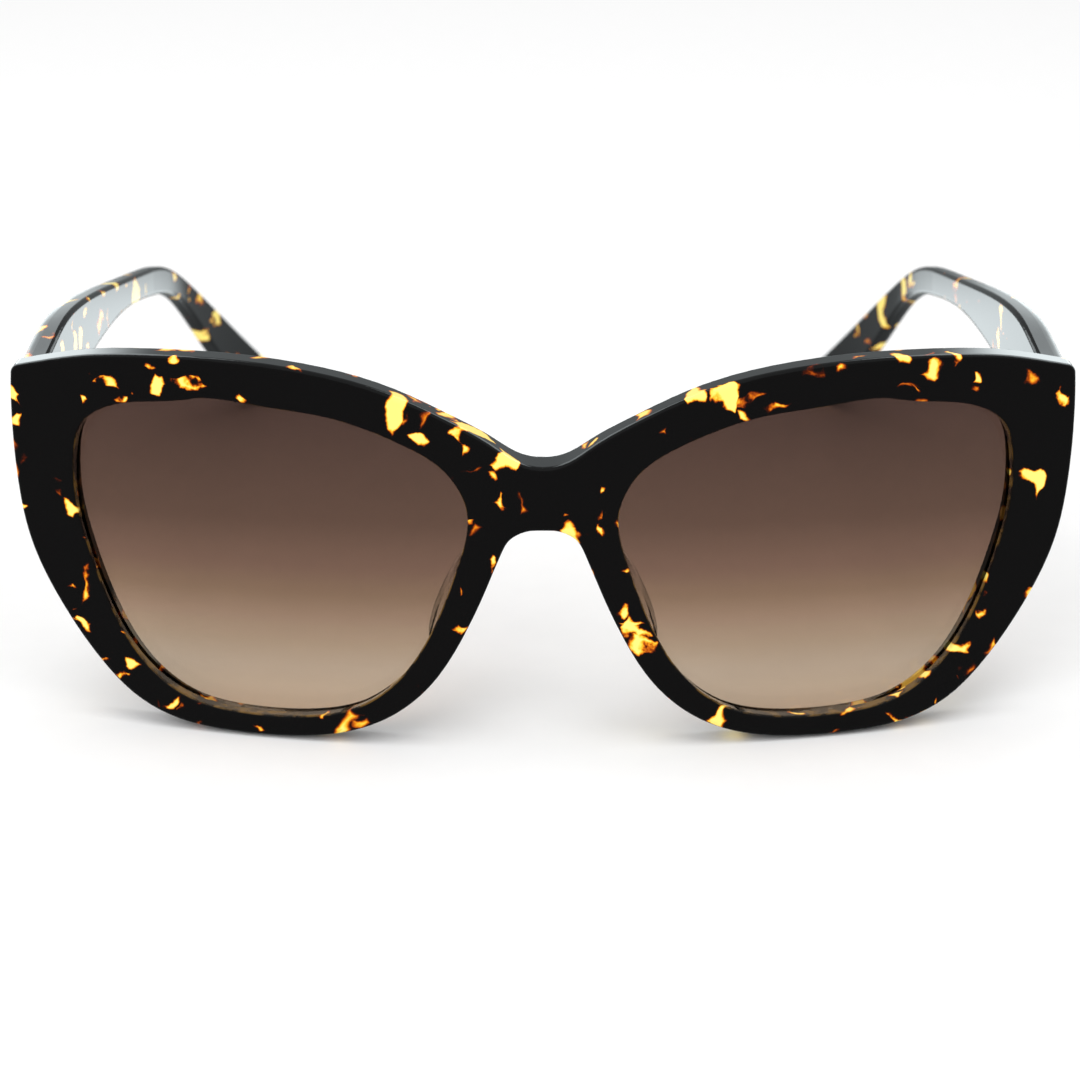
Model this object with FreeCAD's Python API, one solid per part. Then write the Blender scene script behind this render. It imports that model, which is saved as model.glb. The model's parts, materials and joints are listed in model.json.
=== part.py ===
import FreeCAD, Part
import math
import os

from FreeCAD import Placement, Rotation, Vector

# Cat eye sunglasses, in millimetres.
#
# Everything is drawn first in the design frame: X to the wearer's left, Y back along the
# temples, Z up, the front upright, and the origin on the front face in the middle of the
# bridge's width.  rest_placement() then leans the whole object back until the rims and the
# temple tips touch the plane Z = 0, which is how open sunglasses rest on a table.
# Each side part is drawn for the wearer's left (+X); the right one is its mirror image.

UP = Vector(0, 0, 1)

# ---- front ----
FRONT_RADIUS = 200.0       # plan curve of the front face
RIM_THICKNESS = 4.6        # front to back
BRIDGE_THICKNESS = 6.4     # the bridge is thicker than the rims
BRIDGE_REACH = 14.0        # half-width over which the extra thickness fades out
FRONT_EDGE_ROUND = 0.7     # polished outer edges
APERTURE_EDGE_ROUND = 0.4
CORNER_ROUND = 1.3         # upper outer corners, seen from the front
PLAN_HALF_WIDTH = 75.0     # the plan is drawn a little wider than the outline that trims it

# Outline of the front's left half, as (x, z).
BROW_START = (0.0, 9.8)
BROW = [(6.4, 12.55), (12.7, 16.15), (21.0, 19.8), (34.0, 22.65), (48.0, 23.4), (60.0, 22.8)]
BROW_END_RISE = (0.97, -0.24)      # direction of the brow as it reaches the corner
OUTER_CORNER = (71.5, 20.4)
CHEEK_START_RISE = (0.1, -1.0)     # direction of the outline as it leaves the corner
CHEEK = [(71.8, 14.1), (71.4, 4.5), (70.0, -3.5), (65.6, -13.0), (60.2, -20.6), (55.8, -24.8),
         (50.3, -27.5), (43.0, -28.7), (35.0, -28.9), (27.5, -28.1), (21.0, -25.7),
         (15.6, -21.4), (11.3, -15.1), (8.0, -8.2)]
ARCH_FOOT = (5.5, -2.1)
ARCH_FOOT_RISE = (-0.39, 0.92)     # direction of the outline where the nose arch begins
ARCH = [(4.3, -0.15), (2.5, 0.85)]
ARCH_TOP = (0.0, 1.1)

# ---- eyes ----
EYE_X = 36.6               # centre of each lens opening
EYE_Z = -4.2
# Outline of one lens opening in its own plane, as (outward, up) from its centre.
APERTURE = [(10.5, 21.8), (18.4, 20.9), (23.2, 19.6), (26.2, 17.2), (27.4, 13.0), (27.4, 7.0),
            (25.9, 0.3), (22.8, -8.2), (18.6, -15.1), (12.0, -20.0), (4.0, -21.6),
            (-4.0, -21.6), (-11.5, -20.0), (-17.2, -15.9), (-21.9, -8.7), (-25.6, 1.1),
            (-26.7, 6.8), (-24.4, 12.5), (-17.5, 17.1), (-8.8, 20.1), (1.0, 21.4)]
APERTURE_HALF_WIDTH = 27.0
APERTURE_HALF_HEIGHT = 22.0
LENS_RADIUS = 132.5        # base 4 curve
LENS_THICKNESS = 2.0
LENS_INSET = 0.1           # lens crown behind the front face
GROOVE_DEPTH = 0.7         # how far the lens edge sits in the rim
LENS_PLAY = 0.05           # gap all round the lens in its groove
EYE_CUT = 15.0             # each way from a lens's crown, deeper than lens and rim together

# ---- nose pads ----
PAD_HEIGHT = 15.0
PAD_WIDTH = 3.4
PAD_DEPTH = 6.0            # how far the pads stand behind the rims
PAD_SPLAY = 0.5            # how far their far ends lean away from the nose
PAD_CENTRE = (11.8, -9.2)
PAD_LEAN = 25.0            # degrees from upright, along the side of the nose
PAD_EDGE_ROUND = 0.3
PAD_END_LENGTH = 0.4       # share of the height left where the far end has rounded away
PAD_STATIONS = (-0.08, 0.0, 0.3, 0.6, 0.83, 0.96)    # shares of the depth, from inside the rim

# ---- temples ----
TEMPLE_OUTER_X = 71.6      # outer face at the hinge
TEMPLE_START_Y = 18.0
TEMPLE_LEAN = 4.5          # degrees inward
TEMPLE_STRAIGHT_END_Y = 90.0
TEMPLE_TOE_RADIUS = 190.0  # inward curve behind the ear
TEMPLE_TOE_SWEEP = 21.0    # degrees of that curve, past the tip
TEMPLE_LEAD = 10.0         # drawn this far ahead of its start, then trimmed
TEMPLE_THICKNESS = 3.9
TEMPLE_TIP_THICKNESS = 3.1
TEMPLE_OUTER_ROUND = 1.5   # long edges of the outer face
TEMPLE_INNER_ROUND = 0.6   # and of the inner face
TEMPLE_TIP_ROUND = 2.6
BUTT_GAP = 0.12            # between the front and the temple's end when open
# Side view of a temple, as (y, z), from the hinge end to the tip.
TEMPLE_TOP = [(10.0, 18.3), (17.0, 19.5), (22.5, 20.8), (30.0, 22.7), (38.5, 23.3), (50.0, 22.7),
              (70.0, 20.6), (88.0, 18.6), (97.0, 17.2), (104.0, 15.1), (112.0, 11.4),
              (122.0, 5.6), (134.0, -2.3), (148.5, -12.6)]
TEMPLE_BOTTOM = [(10.0, 6.0), (17.0, 6.6), (24.0, 8.2), (32.0, 10.9), (40.0, 13.2), (48.0, 14.6),
                 (58.0, 15.6), (68.0, 15.9), (80.0, 15.1), (90.0, 13.8), (99.0, 12.2),
                 (107.0, 9.3), (114.0, 4.8), (123.0, -2.6), (133.0, -10.9), (141.5, -17.3)]

# ---- core wires ----
WIRE_HEIGHT = 1.9
WIRE_THICKNESS = 1.0
WIRE_MIDDLE = [(27.0, 16.0), (36.0, 17.7), (46.0, 18.6), (58.0, 18.8), (72.0, 18.1), (88.0, 16.3),
               (98.0, 14.6), (108.0, 11.1), (118.0, 4.8), (128.0, -2.6), (138.0, -9.9)]

# ---- hinges ----
AXIS_INBOARD = 2.0         # hinge axis from the temple's inner face
AXIS_BEHIND = 1.85         # hinge axis behind the front's back face
HINGE_Z = 13.8             # middle of the hinge
KNUCKLES = 5
KNUCKLE_HEIGHT = 1.35
KNUCKLE_GAP = 0.05
KNUCKLE_RADIUS = 1.55
LEAF_THICKNESS = 1.1
LEAF_CLEARANCE = 0.6       # a leaf's web stops this far past the axis on the closing side
FRONT_LEAF_INBOARD = 1.7       # from the axis towards the lens, short of the lens opening
FRONT_LEAF_OUTBOARD = 3.6      # from the axis outwards, flush under the temple's butt
TEMPLE_LEAF_LENGTH = 7.0
ANCHOR_DEPTH = 1.1         # keyed block under the front leaf
ANCHOR_INSET_X = 1.2       # block in from the leaf's ends
ANCHOR_INSET_Z = 1.5       # block in from the leaf's top and bottom
POCKET_MOUTH = 0.5         # the front's pocket is cut this far out past its back face
SCREW_RADIUS = 0.7
SCREW_PLAY = 0.05          # running gap in the temple's knuckles
SCREW_HEAD_RADIUS = 1.25
SCREW_HEAD_HEIGHT = 0.7
SCREW_SLOT = 0.35

# ---- standing pose ----
REST_FINENESS = 0.02       # of the points the lean is worked out from
REST_LEAN_LIMIT = 20.0     # degrees, more than the lean can be
REST_HALVINGS = 40         # of the range the lean is searched in

# ---- worked out ----
EYE_TURN = math.degrees(math.asin(EYE_X / FRONT_RADIUS))
BACK_RADIUS = FRONT_RADIUS - RIM_THICKNESS
BUTT_X = TEMPLE_OUTER_X - TEMPLE_THICKNESS
BUTT_TURN = math.degrees(math.asin(BUTT_X / BACK_RADIUS))
STACK_HEIGHT = KNUCKLES * KNUCKLE_HEIGHT + (KNUCKLES - 1) * KNUCKLE_GAP
STACK_BOTTOM = HINGE_Z - STACK_HEIGHT / 2
FAR = 60.0                 # longer than anything it has to cut through
UPRIGHT = 0.05             # an edge narrower than this runs straight up or front to back
TOUCHING = 0.02            # an edge closer than this to a curve lies on it
ACROSS_TEMPLE = 4.5        # longer than any edge across a temple's thickness
TIP_END_Y = 138.0          # every edge beyond this belongs to the temple's squared tip
FACE_SKIN = 0.1            # an edge this close to a temple's face runs round it


# ------------------------------------------------------------------ drawing helpers

def on_front(point):
    """A drawn (x, z) point on the upright plane of the front."""
    return Vector(point[0], 0, point[1])


def on_side(point):
    """A drawn (y, z) point on the middle plane."""
    return Vector(0, point[0], point[1])


def on_plan(point):
    """A drawn (x, y) point seen from above."""
    return Vector(point[0], point[1], 0)


def curve(points, start=None, end=None):
    """A smooth curve through points, with optional directions at its ends."""
    spline = Part.BSplineCurve()
    if start is None:
        spline.interpolate(Points=points)
    else:
        spline.interpolate(Points=points, InitialTangent=start, FinalTangent=end)
    return spline.toShape()


def straight(a, b):
    return Part.makeLine(a, b)


def filled(edges):
    """The flat face inside a loop of edges."""
    return Part.Face(Part.Wire(Part.__sortEdges__(edges)))


def prism(edges, start, end):
    """A solid swept from start to end with the loop of edges as its section."""
    face = filled(edges)
    face.translate(start)
    return face.extrude(end - start)


def mirrored(shape):
    """The same shape on the wearer's right."""
    return shape.mirror(Vector(0, 0, 0), Vector(1, 0, 0))


def back_of_front(x):
    """How far back the rims' back face is at a given x."""
    return FRONT_RADIUS - math.sqrt(BACK_RADIUS ** 2 - x ** 2)


# ------------------------------------------------------------------ front

def front_outline():
    brow_points = [on_front(p) for p in [BROW_START] + BROW + [OUTER_CORNER]]
    cheek_points = [on_front(p) for p in [OUTER_CORNER] + CHEEK + [ARCH_FOOT]]
    arch_points = [on_front(p) for p in [ARCH_FOOT] + ARCH + [ARCH_TOP]]
    foot_rise = on_front(ARCH_FOOT_RISE)
    half = [
        curve(brow_points, Vector(1, 0, 0), on_front(BROW_END_RISE)),
        curve(cheek_points, on_front(CHEEK_START_RISE), foot_rise),
        curve(arch_points, foot_rise, Vector(-1, 0, 0)),
    ]
    return half + [mirrored(edge) for edge in half]


def front_plan():
    """The front seen from above: a crescent, thicker at the bridge."""
    side = PLAN_HALF_WIDTH
    front_y = FRONT_RADIUS - math.sqrt(FRONT_RADIUS ** 2 - side ** 2)
    back_y = back_of_front(side)
    fade_y = back_of_front(BRIDGE_REACH)
    middle = (side + BRIDGE_REACH) / 2
    face = Part.Arc(on_plan((-side, front_y)), on_plan((0, 0)), on_plan((side, front_y)))
    back = Part.Arc(on_plan((BRIDGE_REACH, fade_y)), on_plan((middle, back_of_front(middle))),
                    on_plan((side, back_y)))
    slope = math.asin(BRIDGE_REACH / BACK_RADIUS)
    hump = curve([on_plan((-BRIDGE_REACH, fade_y)), on_plan((0, BRIDGE_THICKNESS)),
                  on_plan((BRIDGE_REACH, fade_y))],
                 Vector(math.cos(slope), -math.sin(slope), 0),
                 Vector(math.cos(slope), math.sin(slope), 0))
    end = straight(on_plan((side, front_y)), on_plan((side, back_y)))
    return [face.toShape(), back.toShape(), mirrored(back.toShape()), hump, end, mirrored(end)]


def eye_placement():
    """The left eye's own frame: X outward, Y up, Z forward out of the front."""
    forward = Vector(math.sin(math.radians(EYE_TURN)), -math.cos(math.radians(EYE_TURN)), 0)
    outward = Vector(math.cos(math.radians(EYE_TURN)), math.sin(math.radians(EYE_TURN)), 0)
    crown_y = FRONT_RADIUS - math.sqrt(FRONT_RADIUS ** 2 - EYE_X ** 2)
    return Placement(Vector(EYE_X, crown_y, EYE_Z), Rotation(outward, UP, forward, "ZXY"))


def aperture_edges(grow):
    """The lens opening's outline in the eye's frame, made larger by grow all round."""
    wider = 1 + grow / APERTURE_HALF_WIDTH
    taller = 1 + grow / APERTURE_HALF_HEIGHT
    spline = Part.BSplineCurve()
    spline.interpolate(Points=[Vector(u * wider, v * taller, 0) for u, v in APERTURE],
                       PeriodicFlag=True)
    return [spline.toShape()]


def ball(radius, centre):
    """A sphere whose poles are above and below, and whose seam is off to one side."""
    sphere = Part.makeSphere(radius)
    sphere.Placement = Placement(centre, Rotation(Vector(1, 0, 0), 90))
    return sphere


def lens_solid(grow, skin):
    """A spherical shell cut to the opening's outline; skin thickens it on both faces."""
    slab = prism(aperture_edges(grow), Vector(0, 0, -EYE_CUT), Vector(0, 0, EYE_CUT))
    centre = Vector(0, 0, -LENS_RADIUS - LENS_INSET)
    outer = ball(LENS_RADIUS + skin, centre)
    inner = ball(LENS_RADIUS - LENS_THICKNESS - skin, centre)
    shape = slab.common(outer).cut(inner)
    shape.Placement = eye_placement()
    return shape


def lens():
    return lens_solid(GROOVE_DEPTH, 0.0)


def long_way_edges(shape):
    """The edges that run along the outline, not from front to back or straight up."""
    chosen = []
    for edge in shape.Edges:
        xs = [point.x for point in edge.discretize(5)]
        if max(xs) - min(xs) > UPRIGHT:
            chosen.append(edge)
    return chosen


def front_slab():
    """The front with its outer edges polished round, before any opening is cut."""
    outline = prism(front_outline(), Vector(0, -FAR, 0), Vector(0, FAR, 0))
    plan = prism(front_plan(), Vector(0, 0, -FAR), Vector(0, 0, FAR))
    slab = outline.common(plan)
    corners = [edge for edge in slab.Edges
               if all(abs(abs(p.x) - OUTER_CORNER[0]) < 0.1 and abs(p.z - OUTER_CORNER[1]) < 0.1
                      for p in edge.discretize(3))]
    slab = slab.makeFillet(CORNER_ROUND, corners)
    return slab.makeFillet(FRONT_EDGE_ROUND, long_way_edges(slab))


def lip_edges(front, outline):
    """The edges of the two lens openings, on the front and back faces."""
    to_eye = eye_placement().inverse()
    chosen = []
    for edge in front.Edges:
        points = [to_eye.multVec(Vector(abs(p.x), p.y, p.z)) for p in edge.discretize(5)]
        flat = [Vector(p.x, p.y, 0) for p in points]
        widths = [p.x for p in flat]
        if max(widths) - min(widths) < UPRIGHT:
            continue
        if all(outline.distToShape(Part.Vertex(p))[0] < TOUCHING for p in flat):
            chosen.append(edge)
    return chosen


def front_with_openings():
    opening = prism(aperture_edges(0.0), Vector(0, 0, -EYE_CUT), Vector(0, 0, EYE_CUT))
    opening.Placement = eye_placement()
    front = front_slab().cut(opening).cut(mirrored(opening))
    front = front.makeFillet(APERTURE_EDGE_ROUND, lip_edges(front, aperture_edges(0.0)[0]))
    groove = lens_solid(GROOVE_DEPTH + LENS_PLAY, LENS_PLAY)
    return front.cut(groove).cut(mirrored(groove))


def front_frame(front):
    """The front with the pockets that hold the hinges."""
    pocket = front_hinge_pocket()
    return front.cut(pocket).cut(mirrored(pocket))


# ------------------------------------------------------------------ nose pads

def pad_section(share):
    """One ellipse of the nose pad, at a share of its depth behind the rim."""
    lean = math.radians(PAD_LEAN)
    along = Vector(math.sin(lean), 0, -math.cos(lean))
    across = Vector(math.cos(lean), 0, math.sin(lean))
    fullness = math.sqrt(1 - max(share, 0.0) ** 4)
    centre = Vector(PAD_CENTRE[0], back_of_front(PAD_CENTRE[0]) + PAD_DEPTH * share, PAD_CENTRE[1])
    centre += across * PAD_SPLAY * share
    half_length = PAD_HEIGHT / 2 * (PAD_END_LENGTH + (1 - PAD_END_LENGTH) * fullness)
    half_width = PAD_WIDTH / 2 * fullness
    ellipse = Part.Ellipse(centre + along * half_length, centre + across * half_width, centre)
    return Part.Wire(ellipse.toShape())


def nose_pad(front):
    """A clear pad glued to the back of the rim, leaning away from the nose."""
    sections = [pad_section(share) for share in PAD_STATIONS]
    pad = Part.makeLoft(sections, True)
    end_y = sections[-1].CenterOfMass.y
    end = [edge for edge in pad.Edges if abs(edge.CenterOfMass.y - end_y) < 0.01]
    pad = pad.makeFillet(PAD_EDGE_ROUND, end)
    pad = pad.cut(front)
    return max(pad.Solids, key=lambda solid: solid.Volume)


# ------------------------------------------------------------------ temples

def temple_plan(inset_outer, inset_inner):
    """The temple seen from above, straight and then curving inward behind the ear.

    The insets move the outer and inner faces towards the middle of its thickness.
    """
    lean = math.radians(TEMPLE_LEAN)
    inward = Vector(-math.cos(lean), -math.sin(lean), 0)
    back = Vector(-math.sin(lean), math.cos(lean), 0)
    run = (TEMPLE_STRAIGHT_END_Y - TEMPLE_START_Y) / math.cos(lean)
    lead = TEMPLE_LEAD / math.cos(lean)
    start = Vector(TEMPLE_OUTER_X, TEMPLE_START_Y, 0)
    bend = start + back * run
    centre = bend + inward * TEMPLE_TOE_RADIUS
    taper = (TEMPLE_THICKNESS - TEMPLE_TIP_THICKNESS) / run
    sweep = math.radians(TEMPLE_TOE_SWEEP)

    def on_arc(radius, angle):
        """A point on the curve about the ear, angle past the end of the straight."""
        return centre - inward * radius * math.cos(angle) + back * radius * math.sin(angle)

    outer_radius = TEMPLE_TOE_RADIUS - inset_outer
    inner_radius = TEMPLE_TOE_RADIUS - TEMPLE_TIP_THICKNESS + inset_inner
    outer_front = start - back * lead + inward * inset_outer
    inner_front = start - back * lead + inward * (TEMPLE_THICKNESS + taper * lead - inset_inner)
    outer = Part.Arc(on_arc(outer_radius, 0), on_arc(outer_radius, sweep / 2),
                     on_arc(outer_radius, sweep))
    inner = Part.Arc(on_arc(inner_radius, 0), on_arc(inner_radius, sweep / 2),
                     on_arc(inner_radius, sweep))
    return [
        straight(outer_front, on_arc(outer_radius, 0)),
        outer.toShape(),
        straight(on_arc(outer_radius, sweep), on_arc(inner_radius, sweep)),
        inner.toShape(),
        straight(on_arc(inner_radius, 0), inner_front),
        straight(inner_front, outer_front),
    ]


def temple_side():
    """The temple seen from the side."""
    top = [on_side(p) for p in TEMPLE_TOP]
    bottom = [on_side(p) for p in TEMPLE_BOTTOM]
    return [curve(top), curve(bottom), straight(top[0], bottom[0]), straight(top[-1], bottom[-1])]


def butt_side():
    """Everything behind the plane that the temple's end closes against."""
    block = Part.makeBox(2 * FAR, 4 * FAR, 2 * FAR, Vector(-FAR, 0, -FAR))
    block.Placement = Placement(Vector(BUTT_X, back_of_front(BUTT_X), 0),
                                Rotation(UP, BUTT_TURN))
    block.translate(block.Placement.Rotation.multVec(Vector(0, BUTT_GAP, 0)))
    return block


def depth_in_temple(point):
    """How far in from the outer face a point of the temple lies."""
    lean = math.radians(TEMPLE_LEAN)
    outward = Vector(math.cos(lean), math.sin(lean), 0)
    back = Vector(-math.sin(lean), math.cos(lean), 0)
    start = Vector(TEMPLE_OUTER_X, TEMPLE_START_Y, 0)
    run = (TEMPLE_STRAIGHT_END_Y - TEMPLE_START_Y) / math.cos(lean)
    flat = Vector(point.x, point.y, 0) - start
    past = flat.dot(back) - run
    if past <= 0:
        return -flat.dot(outward)
    across = TEMPLE_TOE_RADIUS + flat.dot(outward)
    return TEMPLE_TOE_RADIUS - math.hypot(across, past)


def face_rim(blank, outer_side):
    """The edges round the temple's outer or inner face."""
    chosen = []
    for edge in blank.Edges:
        depths = [depth_in_temple(p) for p in edge.discretize(5)]
        on_outer = max(depths) < FACE_SKIN
        on_inner = min(depths) > TEMPLE_TIP_THICKNESS - FACE_SKIN
        if on_outer if outer_side else on_inner:
            chosen.append(edge)
    return chosen


def temple_blank():
    """The solid temple before the hinge and the core wire are let in."""
    side = prism(temple_side(), Vector(0, 0, 0), Vector(2 * FAR, 0, 0))
    plan = prism(temple_plan(0.0, 0.0), Vector(0, 0, -FAR), Vector(0, 0, FAR))
    blank = side.common(plan)
    tip = [edge for edge in blank.Edges
           if all(p.y > TIP_END_Y for p in edge.discretize(3)) and edge.Length < ACROSS_TEMPLE]
    blank = blank.makeFillet(TEMPLE_TIP_ROUND, tip)
    blank = blank.makeFillet(TEMPLE_OUTER_ROUND, face_rim(blank, outer_side=True))
    blank = blank.makeFillet(TEMPLE_INNER_ROUND, face_rim(blank, outer_side=False))
    return blank.common(butt_side())


def core_wire():
    """The flat metal wire in the middle of the temple."""
    half = WIRE_HEIGHT / 2
    middle = [on_side(p) for p in WIRE_MIDDLE]
    top = [p + UP * half for p in middle]
    bottom = [p - UP * half for p in middle]
    side = prism([curve(top), curve(bottom), straight(top[0], bottom[0]),
                  straight(top[-1], bottom[-1])], Vector(0, 0, 0), Vector(2 * FAR, 0, 0))
    inset = (TEMPLE_TIP_THICKNESS - WIRE_THICKNESS) / 2
    plan = prism(temple_plan(inset, inset), Vector(0, 0, -FAR), Vector(0, 0, FAR))
    return side.common(plan)


def temple(blank, wire):
    return blank.cut(temple_hinge_leaf()).cut(wire)


# ------------------------------------------------------------------ hinges

def inner_face_lean():
    """How far the temple's inner face leans inward, in degrees."""
    run = TEMPLE_STRAIGHT_END_Y - TEMPLE_START_Y
    taper = math.degrees(math.atan((TEMPLE_THICKNESS - TEMPLE_TIP_THICKNESS) / run))
    return TEMPLE_LEAN - taper


def hinge_point():
    """Where the hinge axis stands, seen from above."""
    butt = math.radians(BUTT_TURN)
    inner = math.radians(inner_face_lean())
    behind = Vector(-math.sin(butt), math.cos(butt), 0)
    outboard = Vector(math.cos(inner), math.sin(inner), 0)
    on_butt = Vector(BUTT_X, back_of_front(BUTT_X), 0).dot(behind) + AXIS_BEHIND
    on_inner = inner_face_point().dot(outboard) - AXIS_INBOARD
    det = behind.x * outboard.y - behind.y * outboard.x
    x = (on_butt * outboard.y - on_inner * behind.y) / det
    y = (on_inner * behind.x - on_butt * outboard.x) / det
    return Vector(x, y, 0)


def inner_face_point():
    """A point on the temple's inner face, seen from above."""
    lean = math.radians(TEMPLE_LEAN)
    return Vector(TEMPLE_OUTER_X, TEMPLE_START_Y, 0) \
        + Vector(-math.cos(lean), -math.sin(lean), 0) * TEMPLE_THICKNESS


def at_hinge(shape, turn):
    """Move a shape drawn about the hinge axis to its place, turned by an angle."""
    shape.Placement = Placement(hinge_point(), Rotation(UP, turn))
    return shape


def box(low, high):
    """A box between two opposite corners."""
    size = Vector(*high) - Vector(*low)
    return Part.makeBox(size.x, size.y, size.z, Vector(*low))


def knuckle_bottom(index):
    return STACK_BOTTOM + index * (KNUCKLE_HEIGHT + KNUCKLE_GAP)


def knuckles(indexes, web_low, web_high, bore):
    """Barrels round the axis with webs to their leaf, at the given places in the stack."""
    barrels = []
    for index in indexes:
        bottom = knuckle_bottom(index)
        barrel = Part.makeCylinder(KNUCKLE_RADIUS, KNUCKLE_HEIGHT, Vector(0, 0, bottom))
        web = box(web_low + (bottom,), web_high + (bottom + KNUCKLE_HEIGHT,))
        hole = Part.makeCylinder(bore, KNUCKLE_HEIGHT, Vector(0, 0, bottom))
        barrels.append(barrel.fuse(web).cut(hole))
    return barrels


def front_leaf_plate(extra):
    """The sunk plate and its key; extra raises its face to cut the pocket open."""
    top = STACK_BOTTOM + STACK_HEIGHT
    face = -AXIS_BEHIND
    plate = box((-FRONT_LEAF_INBOARD, face - LEAF_THICKNESS, STACK_BOTTOM),
                (FRONT_LEAF_OUTBOARD, face + extra, top))
    key_bottom = face - LEAF_THICKNESS - ANCHOR_DEPTH
    key = box((ANCHOR_INSET_X - FRONT_LEAF_INBOARD, key_bottom, STACK_BOTTOM + ANCHOR_INSET_Z),
              (FRONT_LEAF_OUTBOARD - ANCHOR_INSET_X, face - LEAF_THICKNESS, top - ANCHOR_INSET_Z))
    return plate.fuse(key)


def front_hinge():
    """The three-knuckle half of the hinge, sunk in the back of the front."""
    leaf = front_leaf_plate(0.0)
    barrels = knuckles(range(0, KNUCKLES, 2), (-KNUCKLE_RADIUS, -AXIS_BEHIND),
                       (LEAF_CLEARANCE, 0.0), SCREW_RADIUS)
    return at_hinge(leaf.multiFuse(barrels).removeSplitter(), BUTT_TURN)


def front_hinge_pocket():
    return at_hinge(front_leaf_plate(POCKET_MOUTH), BUTT_TURN)


def temple_hinge_leaf():
    """The plate let into the temple's inner face."""
    plate = box((AXIS_INBOARD, -LEAF_CLEARANCE, STACK_BOTTOM),
                (AXIS_INBOARD + LEAF_THICKNESS, TEMPLE_LEAF_LENGTH, STACK_BOTTOM + STACK_HEIGHT))
    return at_hinge(plate, inner_face_lean())


def temple_hinge():
    """The two-knuckle half of the hinge, on the temple."""
    barrels = knuckles(range(1, KNUCKLES, 2), (0.0, -LEAF_CLEARANCE),
                       (AXIS_INBOARD, KNUCKLE_RADIUS), SCREW_RADIUS + SCREW_PLAY)
    barrels = [at_hinge(barrel, inner_face_lean()) for barrel in barrels]
    return temple_hinge_leaf().multiFuse(barrels).removeSplitter()


def hinge_screw():
    """A slotted screw through all five knuckles."""
    top = STACK_BOTTOM + STACK_HEIGHT
    shank = Part.makeCylinder(SCREW_RADIUS, STACK_HEIGHT, Vector(0, 0, STACK_BOTTOM))
    head = Part.makeCylinder(SCREW_HEAD_RADIUS, SCREW_HEAD_HEIGHT, Vector(0, 0, top))
    crown = [edge for edge in head.Edges if edge.CenterOfMass.z > top + SCREW_HEAD_HEIGHT / 2
             and edge.Length > SCREW_HEAD_RADIUS * 3]
    head = head.makeFillet(SCREW_HEAD_HEIGHT / 3, crown)
    slot = box((-SCREW_HEAD_RADIUS, -SCREW_SLOT / 2, top + SCREW_HEAD_HEIGHT - SCREW_SLOT),
               (SCREW_HEAD_RADIUS, SCREW_SLOT / 2, top + SCREW_HEAD_HEIGHT))
    return at_hinge(shank.fuse(head).cut(slot).removeSplitter(), BUTT_TURN)


# ------------------------------------------------------------------ standing pose

def lowest_after_tilt(points, tilt):
    """The lowest height of points once the object leans back by tilt."""
    return min(p.z * math.cos(tilt) - p.y * math.sin(tilt) for p in points)


def rest_placement(front, temple_shape):
    """Lean back until rims and temple tips touch the plane Z = 0 together."""
    front_points = front.tessellate(REST_FINENESS)[0]
    temple_points = temple_shape.tessellate(REST_FINENESS)[0]
    low = 0.0
    high = math.radians(REST_LEAN_LIMIT)
    for _ in range(REST_HALVINGS):
        tilt = (low + high) / 2
        tips_are_higher = (lowest_after_tilt(temple_points, tilt)
                           > lowest_after_tilt(front_points, tilt))
        if tips_are_higher:
            low = tilt
        else:
            high = tilt
    drop = lowest_after_tilt(front_points, tilt)
    return Placement(Vector(0, 0, -drop), Rotation(Vector(1, 0, 0), -math.degrees(tilt)))


def build():
    """Every piece by node name, in the standing pose."""
    front = front_with_openings()
    blank = temple_blank()
    wire = core_wire()
    left_parts = {
        "lens": lens(),
        "nose_pad": nose_pad(front),
        "front_hinge": front_hinge(),
        "temple_hinge": temple_hinge(),
        "hinge_screw": hinge_screw(),
        "core_wire": wire,
        "temple": temple(blank, wire),
    }
    pieces = {"front_frame": front_frame(front)}
    for name, shape in left_parts.items():
        pieces[name + "_left"] = shape
        pieces[name + "_right"] = mirrored(shape)
    rest = rest_placement(front, blank)
    for name, shape in pieces.items():
        shape.Placement = rest.multiply(shape.Placement)
    return pieces, rest


def main():
    os.makedirs("parts", exist_ok=True)
    pieces, _ = build()
    for name, shape in pieces.items():
        shape.exportStep(os.path.join("parts", name + ".step"))


if __name__ == "__main__":
    main()
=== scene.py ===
import json
import math

import bpy
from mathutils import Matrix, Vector


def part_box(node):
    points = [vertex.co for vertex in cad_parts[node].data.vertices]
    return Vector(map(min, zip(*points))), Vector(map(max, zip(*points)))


# Looks for the cat eye sunglasses: tortoiseshell acetate, gradient lenses, clear nose pads and
# plated hinges, on a pale floor in soft light.  Lengths are in metres unless a name says MM.
# +X is the wearer's left, +Y runs back along the temples and +Z is up.

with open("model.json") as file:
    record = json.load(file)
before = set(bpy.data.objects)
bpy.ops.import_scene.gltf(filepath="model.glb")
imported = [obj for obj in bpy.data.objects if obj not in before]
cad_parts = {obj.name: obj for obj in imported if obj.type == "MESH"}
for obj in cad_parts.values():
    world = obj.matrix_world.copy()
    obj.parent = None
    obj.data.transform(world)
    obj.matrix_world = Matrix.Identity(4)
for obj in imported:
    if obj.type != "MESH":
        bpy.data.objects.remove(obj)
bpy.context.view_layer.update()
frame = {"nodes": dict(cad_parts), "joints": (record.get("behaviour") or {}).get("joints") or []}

MM = 0.001
SIDES = ("left", "right")

# The glasses lean back on the floor, and the hinge axis leans with the front.
UPRIGHT = Vector(frame["joints"][0]["axis"])
if UPRIGHT.z < 0:
    UPRIGHT = -UPRIGHT
LEAN = math.atan2(UPRIGHT.y, UPRIGHT.z)

LENS_LOW, LENS_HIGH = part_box("lens_left")
LENS_TOP = LENS_HIGH.dot(UPRIGHT)
LENS_BOTTOM = LENS_LOW.dot(UPRIGHT)
LENS_REACH = (LENS_HIGH.x - LENS_LOW.x) / 2

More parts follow.
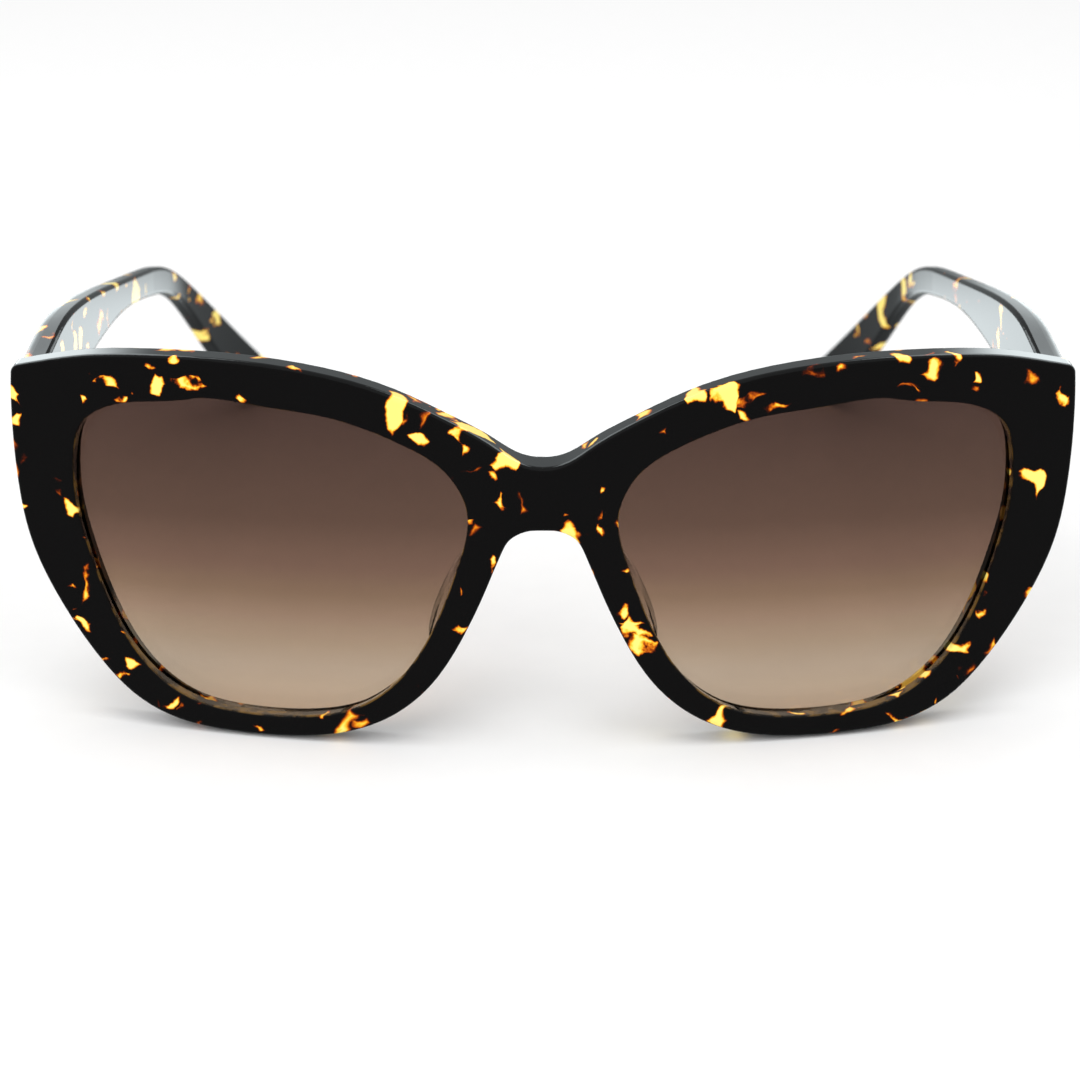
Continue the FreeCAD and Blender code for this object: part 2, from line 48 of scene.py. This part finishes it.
# ---- camera ----
AIM = Vector((0, 0, 0.0295))          # the middle of the bridge's front face
CAMERA_DISTANCE = 0.36
CAMERA_ABOVE_FRONT = math.radians(17.0)   # of the line square to the front
CAMERA_RISE = CAMERA_ABOVE_FRONT + LEAN
CAMERA_LENS_MM = 91.09
SENSOR_MM = 36.0
CAMERA_F_STOP = 36.0                  # the front is sharp and the temples' far ends are soft
CAMERA_SHIFT = -0.0028                # the glasses sit a touch right of the picture's middle
CAMERA_NEAR = 0.01

# ---- acetate pattern, in millimetres unless a name says otherwise ----
# Each layer of chips: size of its cells, squeeze along x, y and z, share of cells that hold a
# chip, and a shift that keeps the layers apart.
FLAKE_LAYERS = (
    (4.4, (1.25, 1.0, 0.8), 0.12, 3.0),
    (2.9, (0.8, 1.0, 1.3), 0.10, 40.0),
    (1.8, (1.0, 1.0, 1.0), 0.035, 80.0),
)
FLAKE_MARGIN = 0.15                   # of a cell, the most that a chip is cut back from its edge
FLAKE_WARM = (0.1, 0.55)              # share of chips that stay orange or darker, faded
FLAKE_WARMEST = 0.35                  # depth left in those
FLAKE_FULL_DEPTH = 0.46               # this far in from its edge a chip is at its brightest
SWAY_PER_MM = 0.22                    # slow bend of the chips' outlines
SWAY_REACH = 5.0
FRAY_PER_MM = 1.1                     # fine bend of the same outlines
FRAY_REACH = 0.7
FRONT_PATTERN = (1200, 0, 0)          # where in the sheet each piece is cut from
TEMPLE_PATTERN = Vector((500, 35, 20))
TEMPLE_PATTERN_STEP = Vector((80, 0, 0))
POLISH = (0.025, 0.075)               # roughness from clean to hazy
SCRATCH_HEIGHT = 2.5 * MM / 1000
ACETATE_IOR = 1.49

# ---- acetate colours, linear ----
ACETATE_BLACK = (0.0035, 0.003, 0.003)
FLAKE_COLOURS = (
    (0.00, ACETATE_BLACK),
    (0.08, (0.07, 0.008, 0.001)),
    (0.24, (0.50, 0.085, 0.004)),
    (0.42, (0.86, 0.28, 0.008)),
    (0.62, (0.98, 0.54, 0.035)),
    (0.82, (1.0, 0.72, 0.10)),
    (1.00, (1.0, 0.82, 0.20)),
)
# Painted glow: how strongly the chips emit their own colour, as if lit through from behind.
FLAKE_PAINTED_GLOW = 0.20
PAINTED_LIP_LIGHT = (0.30, 0.16, 0.03)        # painted light: amber colour in place of light through the thin walls of the lens openings
LIP_STREAKS = (0.42, 0.62)            # the noise levels between which the painted light fades in
LIP_SHARE = 0.5
LIP_FACING = (-0.9, -0.55)            # how squarely a wall faces its lens's middle
LIP_REACH = 1.25                      # of half a lens's width, past which no wall counts

# ---- lens tint from bottom to top, linear ----
LENS_TINTS = (
    (0.00, (0.70, 0.56, 0.43)),
    (0.10, (0.67, 0.54, 0.41)),
    (0.17, (0.59, 0.47, 0.357)),
    (0.25, (0.467, 0.347, 0.244)),
    (0.33, (0.370, 0.249, 0.173)),
    (0.40, (0.268, 0.171, 0.1125)),
    (0.48, (0.203, 0.120, 0.086)),
    (0.62, (0.125, 0.073, 0.053)),
    (0.92, (0.078, 0.045, 0.036)),
    (1.00, (0.070, 0.040, 0.032)),
)
LENS_IOR = 1.5
DUST_COLOUR = (0.05, 0.04, 0.035)
DUST_LEVELS = (0.76, 0.80)            # only the peaks of the noise are specks
DUST_SHARE = 0.22

# ---- clear pads ----
PAD_IOR = 1.48
PAD_CLEAR = (0.90, 0.89, 0.86)
PAD_CLOUDY = (0.82, 0.80, 0.76)
PAD_POLISH = (0.03, 0.09)
PAD_WAVE_HEIGHT = 10 * MM / 1000

# ---- metals: colour, stained colour, drawn lines per mm along x, y and z, roughness ----
HINGE_PLATING = ((0.66, 0.63, 0.57), (0.42, 0.39, 0.34), (1.2, 1.2, 9.0), 0.16)
SCREW_STEEL = ((0.75, 0.75, 0.74), (0.5, 0.5, 0.5), (3.0, 3.0, 3.0), 0.12)
WIRE_SILVER = ((0.6, 0.58, 0.52), (0.4, 0.38, 0.33), (9.0, 0.6, 9.0), 0.22)
METAL_GRAIN_ROUGHNESS = 0.18          # added in the deepest lines
METAL_LINE_HEIGHT = 8 * MM / 1000

# ---- studio ----
FLOOR_RADIUS = 3.0
FLOOR_CORNERS = 96
PAPER_LIGHT = (0.96, 0.96, 0.96)
PAPER_DARK = (0.93, 0.93, 0.93)
FIBRES_PER_METRE = 180.0
ROOM_LIGHT = 0.66                     # what lights matt surfaces, from all round
SKY_FRONT = 0.10                      # what polished surfaces mirror towards the camera
SKY_BACK = 0.32                       # and behind the glasses
SKY_OVERHEAD = 0.30
SKY_TURN = (-0.15, 0.35)              # from front to back, as the y of the direction
SKY_RISE = (0.5, 0.85)                # from level to overhead, as its z
MIRROR_TINT = (0.90, 0.98, 1.0)

# The lit strip of table that the temples' inner faces mirror.
STRIP_BRIGHT = 2.5
STRIP_HALF_WIDTH = 0.045
STRIP_SOFTNESS = 1.4
STRIP_NEAR = (0.06, 0.13)
STRIP_FAR = (0.16, 0.28)
STRIP_SLANT = (0.42, 0.62)            # sideways over lengthways, past which it isn't seen
TABLE_FADE = (-0.02, 0.20)

# The white cards behind the temples.
CARD_BRIGHT = 2.3
CARD_Y = 0.30
CARD_INNER_X = 0.095
CARD_OUTER_X = 0.50
CARD_TOP = 0.60
CARD_EDGE = 0.035                     # soft inner edge

# Each lamp: name, place, side and watts.
LAMPS = (
    ("overhead", (0.0, -0.10, 1.2), 1.0, 7.0),
    ("from_front", (-0.5, -1.0, 0.9), 0.8, 5.0),
)


# ------------------------------------------------------------------ node helpers

class Tree:
    """A material's or world's node tree, with short ways to add and join nodes."""

    def __init__(self, owner):
        owner.use_nodes = True
        self.nodes = owner.node_tree.nodes
        self.links = owner.node_tree.links
        self.nodes.clear()

    def add(self, kind, **settings):
        node = self.nodes.new("ShaderNode" + kind)
        for name, value in settings.items():
            setattr(node, name, value)
        return node

    def join(self, source, target):
        self.links.new(source, target)

    def put(self, socket, value):
        """Set a socket to a value, or join it to another node's output."""
        if isinstance(value, bpy.types.NodeSocket):
            self.join(value, socket)
        else:
            socket.default_value = value

    def math(self, operation, a, b=0.0):
        node = self.add("Math", operation=operation)
        self.put(node.inputs[0], a)
        self.put(node.inputs[1], b)
        return node.outputs[0]

    def vector(self, operation, a, b=(0, 0, 0)):
        node = self.add("VectorMath", operation=operation)
        self.put(node.inputs[0], a)
        if operation == "SCALE":
            self.put(node.inputs["Scale"], b)
        else:
            self.put(node.inputs[1], b)
        return node.outputs["Value" if operation == "DOT_PRODUCT" else "Vector"]

    def blend(self, share, a, b):
        """Colour a where share is 0 and b where it is 1."""
        node = self.add("Mix", data_type="RGBA")
        self.put(node.inputs["Factor"], share)
        self.put(node.inputs["A"], opaque(a))
        self.put(node.inputs["B"], opaque(b))
        return next(out for out in node.outputs if out.type == "RGBA")

    def fade(self, value, low, high, out_low=0.0, out_high=1.0):
        """A smooth ramp from out_low at low to out_high at high."""
        node = self.add("MapRange", interpolation_type="SMOOTHSTEP")
        self.put(node.inputs["Value"], value)
        self.put(node.inputs["From Min"], low)
        self.put(node.inputs["From Max"], high)
        self.put(node.inputs["To Min"], out_low)
        self.put(node.inputs["To Max"], out_high)
        return node.outputs["Result"]

    def ramp(self, value, stops):
        node = self.add("ValToRGB")
        elements = node.color_ramp.elements
        while len(elements) < len(stops):
            elements.new(1.0)
        for element, (place, colour) in zip(elements, stops):
            element.position = place
            element.color = opaque(colour)
        self.put(node.inputs["Fac"], value)
        return node.outputs["Color"]

    def noise(self, where, scale, detail=2.0, output="Fac"):
        node = self.add("TexNoise")
        self.put(node.inputs["Vector"], where)
        node.inputs["Scale"].default_value = scale
        node.inputs["Detail"].default_value = detail
        return node.outputs[output]

    def bump(self, height, distance, strength=1.0):
        node = self.add("Bump")
        node.inputs["Distance"].default_value = distance
        node.inputs["Strength"].default_value = strength
        self.put(node.inputs["Height"], height)
        return node.outputs["Normal"]


def opaque(colour):
    """A colour with full alpha; a node's output passes through unchanged."""
    if isinstance(colour, bpy.types.NodeSocket) or len(colour) == 4:
        return colour
    return tuple(colour) + (1.0,)


def new_material(name):
    material = bpy.data.materials.new(name)
    return material, Tree(material)


def finish_material(tree, shader):
    output = tree.add("OutputMaterial")
    tree.join(shader, output.inputs["Surface"])


def mirrored_ray(tree):
    """1 where a polished surface is mirroring the studio, 0 where it is seen or seen through."""
    light_path = tree.add("LightPath")
    straight = tree.math("SUBTRACT", 1.0, light_path.outputs["Is Transmission Ray"])
    return tree.math("MULTIPLY", light_path.outputs["Is Glossy Ray"], straight)


def in_mm(tree, offset=(0, 0, 0)):
    """Coordinates fixed to the piece, in millimetres, shifted to another part of a pattern."""
    place = tree.add("TexCoord").outputs["Object"]
    return tree.vector("ADD", tree.vector("SCALE", place, 1 / MM), offset)


# ------------------------------------------------------------------ acetate

def flake_layer(tree, where, size, stretch, chance, seed):
    """How deep each point lies inside the chips of one layer, in mm from their edges."""
    place = tree.vector("ADD", tree.vector("MULTIPLY", where, stretch), (seed, seed, seed))
    cells = tree.add("TexVoronoi", feature="F1")
    edges = tree.add("TexVoronoi", feature="DISTANCE_TO_EDGE")
    for voronoi in (cells, edges):
        tree.join(place, voronoi.inputs["Vector"])
        voronoi.inputs["Scale"].default_value = 1 / size
    pick = tree.add("SeparateColor")
    tree.join(cells.outputs["Color"], pick.inputs["Color"])
    chosen = tree.math("LESS_THAN", pick.outputs[0], chance)
    margin = tree.math("MULTIPLY", pick.outputs[1], FLAKE_MARGIN)
    inside = tree.math("SUBTRACT", edges.outputs["Distance"], margin)
    inside = tree.math("MULTIPLY", inside, size)
    warmth = tree.fade(pick.outputs[2], *FLAKE_WARM, FLAKE_WARMEST, 1.0)
    return tree.math("MULTIPLY", tree.math("MULTIPLY", inside, warmth), chosen)


def inner_wall(tree):
    """1 on the walls of the lens openings, where painted light stands in for light coming through
    the thin lip.
    """
    place = tree.add("TexCoord").outputs["Object"]
    facing = tree.add("TexCoord").outputs["Normal"]
    spot = tree.add("SeparateXYZ")
    tree.join(place, spot.inputs[0])
    turn = tree.add("SeparateXYZ")
    tree.join(facing, turn.inputs[0])
    side = tree.math("SIGN", spot.outputs["X"])
    centre = (LENS_LOW + LENS_HIGH) / 2
    across = tree.math("SUBTRACT", tree.math("MULTIPLY", spot.outputs["X"], side), centre.x)
    rise = tree.math("SUBTRACT", spot.outputs["Z"], centre.z)
    reach = tree.math("SQRT", tree.math("ADD", tree.math("POWER", across, 2.0),
                                        tree.math("POWER", rise, 2.0)))
    inward_x = tree.math("MULTIPLY", tree.math("MULTIPLY", turn.outputs["X"], side), across)
    inward_z = tree.math("MULTIPLY", turn.outputs["Z"], rise)
    towards = tree.math("DIVIDE", tree.math("ADD", inward_x, inward_z), reach)
    near = tree.fade(reach, LENS_REACH, LENS_REACH * LIP_REACH, 1.0, 0.0)
    return tree.math("MULTIPLY", tree.fade(towards, *LIP_FACING, 1.0, 0.0), near)


def wander(tree, place, per_mm, detail, reach):
    """A shift of up to half of reach each way that changes slowly from point to point."""
    noise = tree.noise(place, per_mm, detail, "Color")
    return tree.vector("SCALE", tree.vector("SUBTRACT", noise, (0.5, 0.5, 0.5)), reach)


def acetate(name, offset, lip=False):
    """Polished tortoiseshell: near-black sheet with angular chips from dark red to yellow, which
    carry a painted glow.
    """
    material, tree = new_material(name)
    place = in_mm(tree, offset)
    bent = tree.vector("ADD", place, wander(tree, place, SWAY_PER_MM, 1.0, SWAY_REACH))
    bent = tree.vector("ADD", bent, wander(tree, place, FRAY_PER_MM, 2.0, FRAY_REACH))
    depth = 0.0
    for size, stretch, chance, seed in FLAKE_LAYERS:
        depth = tree.math("MAXIMUM", depth, flake_layer(tree, bent, size, stretch, chance, seed))
    shade = tree.fade(depth, 0.0, FLAKE_FULL_DEPTH)
    colour = tree.ramp(shade, FLAKE_COLOURS)
    # Painted light: amber streaks on the walls of the lens openings in place of light coming
    # through the thin lip.
    if lip:
        streaks = tree.fade(tree.noise(place, 0.35, 3.0), *LIP_STREAKS)
        lip_light = tree.math("MULTIPLY", tree.math("MULTIPLY", streaks, inner_wall(tree)), LIP_SHARE)
        colour = tree.blend(lip_light, colour, PAINTED_LIP_LIGHT)

    haze = tree.noise(place, 0.35, 4.0)
    scratches = tree.noise(tree.vector("MULTIPLY", place, (0.6, 0.6, 7.0)), 1.0, 5.0)
    shader = tree.add("BsdfPrincipled")
    shader.inputs["IOR"].default_value = ACETATE_IOR
    tree.join(colour, shader.inputs["Base Color"])
    tree.put(shader.inputs["Roughness"], tree.fade(haze, 0.3, 0.8, *POLISH))
    tree.join(tree.bump(scratches, SCRATCH_HEIGHT), shader.inputs["Normal"])
    # Painted glow: the chips emit their own colour, brighter deeper inside each chip, in place of
    # light shining through them from behind.
    tree.join(colour, shader.inputs["Emission Color"])
    tree.put(shader.inputs["Emission Strength"], tree.math("MULTIPLY", shade, FLAKE_PAINTED_GLOW))
    finish_material(tree, shader.outputs[0])
    material.cycles.emission_sampling = "NONE"
    return material


# ------------------------------------------------------------------ lenses and pads

def lens_tint():
    """Tinted lens, dark at the top and light at the bottom, that lets lamps through."""
    material, tree = new_material("lens_gradient")
    place = tree.add("TexCoord").outputs["Object"]
    height = tree.vector("DOT_PRODUCT", place, tuple(UPRIGHT))
    share = tree.add("MapRange")
    tree.put(share.inputs["Value"], height)
    share.inputs["From Min"].default_value = LENS_BOTTOM
    share.inputs["From Max"].default_value = LENS_TOP
    tint = tree.ramp(share.outputs["Result"], LENS_TINTS)

    specks = tree.noise(tree.vector("MULTIPLY", in_mm(tree), (2.6, 2.6, 4.5)), 1.0, 2.0)
    dust = tree.math("MULTIPLY", tree.fade(specks, *DUST_LEVELS), DUST_SHARE)
    tint = tree.blend(dust, tint, DUST_COLOUR)

    glass = tree.add("BsdfPrincipled")
    glass.inputs["Transmission Weight"].default_value = 1.0
    glass.inputs["IOR"].default_value = LENS_IOR
    tree.join(tint, glass.inputs["Base Color"])
    glass.inputs["Roughness"].default_value = 0.0

    clear = tree.add("BsdfTransparent")
    tree.join(tint, clear.inputs["Color"])
    light_path = tree.add("LightPath")
    either = tree.add("MixShader")
    tree.join(light_path.outputs["Is Shadow Ray"], either.inputs["Fac"])
    tree.join(glass.outputs[0], either.inputs[1])
    tree.join(clear.outputs[0], either.inputs[2])
    finish_material(tree, either.outputs[0])
    return material


def clear_acetate():
    """The nose pads: clear, slightly grey, softly polished."""
    material, tree = new_material("clear_acetate")
    place = in_mm(tree)
    shader = tree.add("BsdfPrincipled")
    shader.inputs["Transmission Weight"].default_value = 1.0
    shader.inputs["IOR"].default_value = PAD_IOR
    cloud = tree.noise(place, 0.4, 3.0)
    tree.join(tree.blend(cloud, PAD_CLEAR, PAD_CLOUDY), shader.inputs["Base Color"])
    tree.put(shader.inputs["Roughness"], tree.fade(cloud, 0.3, 0.7, *PAD_POLISH))
    waves = tree.bump(tree.noise(place, 1.5, 3.0), PAD_WAVE_HEIGHT)
    tree.join(waves, shader.inputs["Normal"])
    finish_material(tree, shader.outputs[0])
    return material


# ------------------------------------------------------------------ metal

def metal(name, colour, dark, grain, roughness):
    """Plated metal with drawn lines along grain and faint stains."""
    material, tree = new_material(name)
    place = in_mm(tree)
    lines = tree.noise(tree.vector("MULTIPLY", place, grain), 1.0, 5.0)
    stain = tree.noise(place, 0.7, 4.0)
    shader = tree.add("BsdfPrincipled")
    shader.inputs["Metallic"].default_value = 1.0
    tree.join(tree.blend(tree.fade(stain, 0.4, 0.8), colour, dark), shader.inputs["Base Color"])
    tree.put(shader.inputs["Roughness"],
             tree.fade(lines, 0.3, 0.7, roughness, roughness + METAL_GRAIN_ROUGHNESS))
    tree.join(tree.bump(lines, METAL_LINE_HEIGHT), shader.inputs["Normal"])
    finish_material(tree, shader.outputs[0])
    return material


# ------------------------------------------------------------------ dressing the CAD

def dress(node, material):
    """Give a CAD node its material, and flat faces that stay flat beside rounded edges."""
    obj = frame["nodes"][node]
    obj.data.materials.clear()
    obj.data.materials.append(material)
    normals = obj.modifiers.new("weighted_normals", "WEIGHTED_NORMAL")
    normals.mode = "FACE_AREA"
    normals.weight = 100
    normals.keep_sharp = True


def dress_everything():
    dress("front_frame", acetate("acetate_front", FRONT_PATTERN, lip=True))
    lens = lens_tint()
    pad = clear_acetate()
    plated = metal("hinge_plating", *HINGE_PLATING)
    steel = metal("screw_steel", *SCREW_STEEL)
    wire = metal("core_wire_silver", *WIRE_SILVER)
    for number, side in enumerate(SIDES):
        pattern = TEMPLE_PATTERN + number * TEMPLE_PATTERN_STEP
        dress("temple_" + side, acetate("acetate_temple_" + side, pattern))
        dress("lens_" + side, lens)
        dress("nose_pad_" + side, pad)
        dress("front_hinge_" + side, plated)
        dress("temple_hinge_" + side, plated)
        dress("hinge_screw_" + side, steel)
        dress("core_wire_" + side, wire)


# ------------------------------------------------------------------ studio

def mirrored_sky(tree, direction):
    """Brightness of the studio as polished surfaces mirror it: dark in front, grey behind."""
    split = tree.add("SeparateXYZ")
    tree.join(direction, split.inputs[0])
    around = tree.fade(split.outputs["Y"], *SKY_TURN, SKY_FRONT, SKY_BACK)
    overhead = tree.fade(split.outputs["Z"], *SKY_RISE)
    return tree.fade(overhead, 0.0, 1.0, around, SKY_OVERHEAD)


def studio_world():
    """White behind the glasses, even light on matt surfaces, shaped light in reflections."""
    world = bpy.data.worlds.new("studio")
    bpy.context.scene.world = world
    tree = Tree(world)
    light_path = tree.add("LightPath")
    direction = tree.add("TexCoord").outputs["Generated"]
    seen = tree.fade(light_path.outputs["Is Diffuse Ray"], 0.0, 1.0, 1.0, ROOM_LIGHT)
    mirrored = mirrored_ray(tree)
    level = tree.fade(mirrored, 0.0, 1.0, seen, mirrored_sky(tree, direction))
    background = tree.add("Background")
    tree.put(background.inputs["Strength"], level)
    tree.join(tree.blend(mirrored, (1, 1, 1), MIRROR_TINT), background.inputs["Color"])
    output = tree.add("OutputWorld")
    tree.join(background.outputs[0], output.inputs["Surface"])
    world.cycles.sampling_method = "NONE"


def lit_strip(tree, place):
    """Brightness of the table in mirrors: a lit strip between the temples, seen at a slant."""
    split = tree.add("SeparateXYZ")
    tree.join(place, split.inputs[0])
    arriving = tree.add("SeparateXYZ")
    tree.join(tree.add("NewGeometry").outputs["Incoming"], arriving.inputs[0])
    slant = tree.math("DIVIDE", tree.math("ABSOLUTE", arriving.outputs["X"]),
                      tree.math("ABSOLUTE", arriving.outputs["Y"]))
    off_centre = tree.math("ABSOLUTE", split.outputs["X"])
    edges = (
        tree.fade(split.outputs["Y"], *STRIP_NEAR),
        tree.fade(split.outputs["Y"], *STRIP_FAR, 1.0, 0.0),
        tree.fade(slant, *STRIP_SLANT, 1.0, 0.0),
        tree.fade(off_centre, STRIP_HALF_WIDTH, STRIP_HALF_WIDTH * STRIP_SOFTNESS, 1.0, 0.0),
    )
    strip = 1.0
    for edge in edges:
        strip = tree.math("MULTIPLY", strip, edge)
    table = tree.fade(split.outputs["Y"], *TABLE_FADE, SKY_FRONT, SKY_BACK)
    return tree.fade(strip, 0.0, 1.0, table, STRIP_BRIGHT)


def floor_material():
    """Pale matt paper that polished surfaces mirror as a dark table with a lit strip."""
    material, tree = new_material("floor_paper")
    place = tree.add("TexCoord").outputs["Object"]
    fibre = tree.noise(place, FIBRES_PER_METRE, 4.0)
    paper = tree.add("BsdfPrincipled")
    tree.join(tree.blend(fibre, PAPER_LIGHT, PAPER_DARK), paper.inputs["Base Color"])
    paper.inputs["Roughness"].default_value = 0.9
    paper.inputs["Specular IOR Level"].default_value = 0.0
    mirrored = tree.add("Emission")
    mirrored.inputs["Color"].default_value = opaque(MIRROR_TINT)
    tree.put(mirrored.inputs["Strength"], lit_strip(tree, place))
    either = tree.add("MixShader")
    tree.join(mirrored_ray(tree), either.inputs["Fac"])
    tree.join(paper.outputs[0], either.inputs[1])
    tree.join(mirrored.outputs[0], either.inputs[2])
    finish_material(tree, either.outputs[0])
    material.cycles.emission_sampling = "NONE"
    return material


def make_floor():
    bpy.ops.mesh.primitive_circle_add(vertices=FLOOR_CORNERS, radius=FLOOR_RADIUS, fill_type="NGON")
    floor = bpy.context.object
    floor.name = "floor"
    floor.data.materials.append(floor_material())


def card_material():
    """A glowing card that fades out towards the middle."""
    material, tree = new_material("white_card")
    split = tree.add("SeparateXYZ")
    tree.join(tree.add("TexCoord").outputs["Object"], split.inputs[0])
    side = tree.math("ABSOLUTE", split.outputs["X"])
    glow = tree.add("Emission")
    glow.inputs["Color"].default_value = opaque(MIRROR_TINT)
    tree.put(glow.inputs["Strength"],
             tree.fade(side, CARD_INNER_X, CARD_INNER_X + CARD_EDGE, SKY_BACK, CARD_BRIGHT))
    finish_material(tree, glow.outputs[0])
    material.cycles.emission_sampling = "NONE"
    return material


def make_cards():
    """A white card behind each temple, there only for polished surfaces to mirror."""
    material = card_material()
    for side in (-1, 1):
        inner = side * CARD_INNER_X
        outer = side * CARD_OUTER_X
        corners = [(inner, CARD_Y, 0), (outer, CARD_Y, 0),
                   (outer, CARD_Y, CARD_TOP), (inner, CARD_Y, CARD_TOP)]
        mesh = bpy.data.meshes.new("card")
        mesh.from_pydata(corners, [], [(0, 1, 2, 3)])
        mesh.materials.append(material)
        card = bpy.data.objects.new("card", mesh)
        card.visible_camera = False
        card.visible_diffuse = False
        card.visible_transmission = False
        card.visible_shadow = False
        bpy.context.scene.collection.objects.link(card)


def soft_light(name, place, size, watts):
    """A large square lamp aimed at the bridge, not itself mirrored in the polish."""
    data = bpy.data.lights.new(name, "AREA")
    data.size = size
    data.energy = watts
    lamp = bpy.data.objects.new(name, data)
    lamp.location = place
    lamp.rotation_euler = (AIM - Vector(place)).to_track_quat("-Z", "Y").to_euler()
    lamp.visible_glossy = False
    bpy.context.scene.collection.objects.link(lamp)


def make_camera():
    data = bpy.data.cameras.new("camera")
    data.lens = CAMERA_LENS_MM
    data.sensor_width = SENSOR_MM
    data.shift_x = CAMERA_SHIFT
    data.clip_start = CAMERA_NEAR
    data.dof.use_dof = True
    data.dof.focus_distance = CAMERA_DISTANCE
    data.dof.aperture_fstop = CAMERA_F_STOP
    camera = bpy.data.objects.new("camera", data)
    away = Vector((0, -math.cos(CAMERA_RISE), math.sin(CAMERA_RISE)))
    camera.location = AIM + away * CAMERA_DISTANCE
    camera.rotation_euler = (-away).to_track_quat("-Z", "Y").to_euler()
    bpy.context.scene.collection.objects.link(camera)
    bpy.context.scene.camera = camera


dress_everything()
studio_world()
make_floor()
make_cards()
for lamp_name, lamp_place, lamp_size, lamp_watts in LAMPS:
    soft_light(lamp_name, lamp_place, lamp_size, lamp_watts)
make_camera()
bpy.context.scene.view_settings.view_transform = "Standard"
